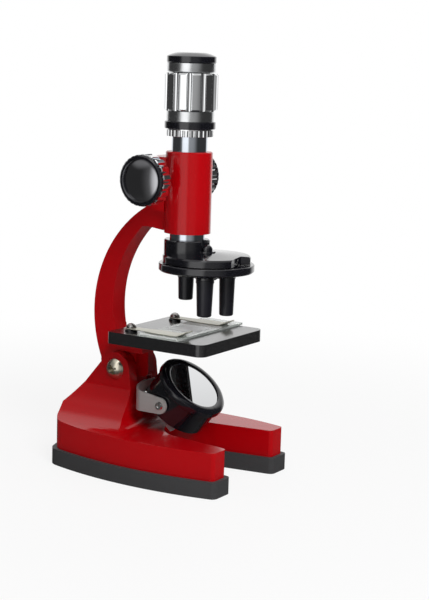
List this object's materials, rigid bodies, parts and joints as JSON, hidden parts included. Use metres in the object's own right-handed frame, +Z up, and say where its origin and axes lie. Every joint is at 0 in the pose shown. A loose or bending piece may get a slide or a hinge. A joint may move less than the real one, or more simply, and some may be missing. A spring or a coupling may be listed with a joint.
{
  "type": "toy compound microscope",
  "caption": "Toy compound microscope: horseshoe base, inclining curved arm, rack focus, zoom eyepiece, objective turret, clipped stage and tilting mirror drum with lamp.",
  "frame": {"origin": "centre of the bounding box in plan, on the table face of the rubber rim", "axes": "+X towards the open end of the horseshoe base, +Y to the far side, +Z up along the upright tube"},
  "size_m": [0.122, 0.091, 0.2371],
  "materials": {
    "red_enamel": "glossy stoved enamel on die casting",
    "rim_rubber": "matte charcoal rubber",
    "black_satin": "satin black",
    "black_gloss": "gloss black",
    "chrome": "bright plated plastic",
    "satin_chrome": "satin plated metal",
    "dark_cap": "dark plated, domed",
    "nickel": "nickel plated steel",
    "satin_aluminium": "satin strip",
    "brass": "machined",
    "clip_cream": "pale spring strip",
    "clear_glass": "clear",
    "white_label": "blank paper label",
    "mirror": "silvered glass",
    "battery_wrap": "plain wrap",
    "bulb": "glass bulb in a metal collar",
    "grey_plastic": "satin grey"
  },
  "bodies": {
    "base": {"base_casting": "red_enamel", "base_rim": "rim_rubber", "base_plate": "black_satin", "base_screw": "nickel", "pivot_bolt": "nickel", "pivot_nut": "nickel", "pivot_washer": "nickel"},
    "arm": {"arm_casting": "red_enamel", "pinion_bush": "brass", "pinion_cover": "red_enamel", "cover_screw": "nickel", "stage_plate": "black_satin", "stage_screw": "nickel", "clip_post": "black_satin", "clip_screw": "nickel", "fork_spacer": "satin_aluminium", "fork_screw": "nickel"},
    "specimen": {"slide_glass": "clear_glass", "slide_cover": "clear_glass", "slide_label": "white_label"},
    "near_clip": {"clip_near": "clip_cream"},
    "far_clip": {"clip_far": "clip_cream"},
    "fork": {"mirror_fork": "satin_aluminium", "fork_rivet": "nickel"},
    "drum": {"drum_body": "black_gloss", "drum_bezel": "black_gloss", "mirror_glass": "mirror", "battery": "battery_wrap", "battery_holder": "black_satin", "battery_contact": "nickel", "lamp_bulb": "bulb", "lamp_lens": "clear_glass"},
    "switch": {"lamp_switch": "grey_plastic"},
    "tube": {"body_tube": "satin_chrome", "rack": "brass", "nosepiece": "black_gloss", "turret_pin": "black_gloss", "click_ball": "nickel", "click_spring": "nickel", "serrated_ring": "chrome", "black_ring": "black_gloss", "lower_ring": "satin_chrome", "zoom_core": "black_satin"},
    "turret": {"turret_disc": "black_gloss", "objective_short": "black_satin", "objective_medium": "black_satin", "objective_long": "black_satin", "front_lens": "clear_glass"},
    "pinion": {"pinion_shaft": "nickel", "knob_near": "chrome", "knob_far": "chrome", "knob_ring": "black_gloss", "knob_cap": "dark_cap"},
    "zoom": {"zoom_barrel": "chrome"},
    "eyepiece": {"draw_tube": "black_satin", "eye_ring": "satin_chrome", "eye_cap": "black_gloss", "eye_lens": "clear_glass", "field_lens": "clear_glass"}
  },
  "joints": [
    {"name": "arm_tilt", "type": "hinge", "parent": "base", "child": "arm", "pos_m": [-0.0245, 0, 0.056], "axis": [0, -1, 0], "range_deg": [0, 38]},
    {"name": "focus", "type": "slide", "parent": "arm", "child": "tube", "axis": [0, 0, 1], "range_m": [-0.0045, 0.0032]},
    {"name": "focus_knob", "type": "hinge", "parent": "arm", "child": "pinion", "pos_m": [0.0011, 0, 0.1673], "axis": [0, 1, 0], "range_deg": [-62, 87]},
    {"name": "turret_turn", "type": "hinge", "parent": "tube", "child": "turret", "pos_m": [0.0269, 0, 0.12], "axis": [0, 0, 1], "continuous": true},
    {"name": "zoom_turn", "type": "hinge", "parent": "tube", "child": "zoom", "pos_m": [0.0135, 0, 0.216], "axis": [0, 0, 1], "range_deg": [0, 120]},
    {"name": "eyepiece_draw", "type": "slide", "parent": "tube", "child": "eyepiece", "axis": [0, 0, 1], "range_m": [0, 0.004]},
    {"name": "near_clip_turn", "type": "hinge", "parent": "arm", "child": "near_clip", "pos_m": [-0.008, -0.022, 0.0833], "axis": [0, 0, 1], "range_deg": [-20, 20]},
    {"name": "far_clip_turn", "type": "hinge", "parent": "arm", "child": "far_clip", "pos_m": [-0.008, 0.022, 0.0833], "axis": [0, 0, 1], "range_deg": [-20, 20]},
    {"name": "specimen_move", "type": "slide", "parent": "arm", "child": "specimen", "axis": [0, 1, 0], "range_m": [-0.006, 0.006]},
    {"name": "fork_swivel", "type": "hinge", "parent": "arm", "child": "fork", "pos_m": [-0.0118, 0, 0.0414], "axis": [1, 0, 0], "range_deg": [-4, 4]},
    {"name": "mirror_tilt", "type": "hinge", "parent": "fork", "child": "drum", "pos_m": [0.0122, 0, 0.0414], "axis": [0, 1, 0], "range_deg": [-20, 10]},
    {"name": "lamp_switch_slide", "type": "slide", "parent": "drum", "child": "switch", "axis": [0.7683, 0, -0.6401], "range_m": [0, 0.002]}
  ],
  "couplings": [
    {"joint": "focus_knob", "follows": "focus", "rad_per_m": -333.33},
    {"joint": "zoom_turn", "follows": "eyepiece_draw", "rad_per_m": 523.6}
  ]
}
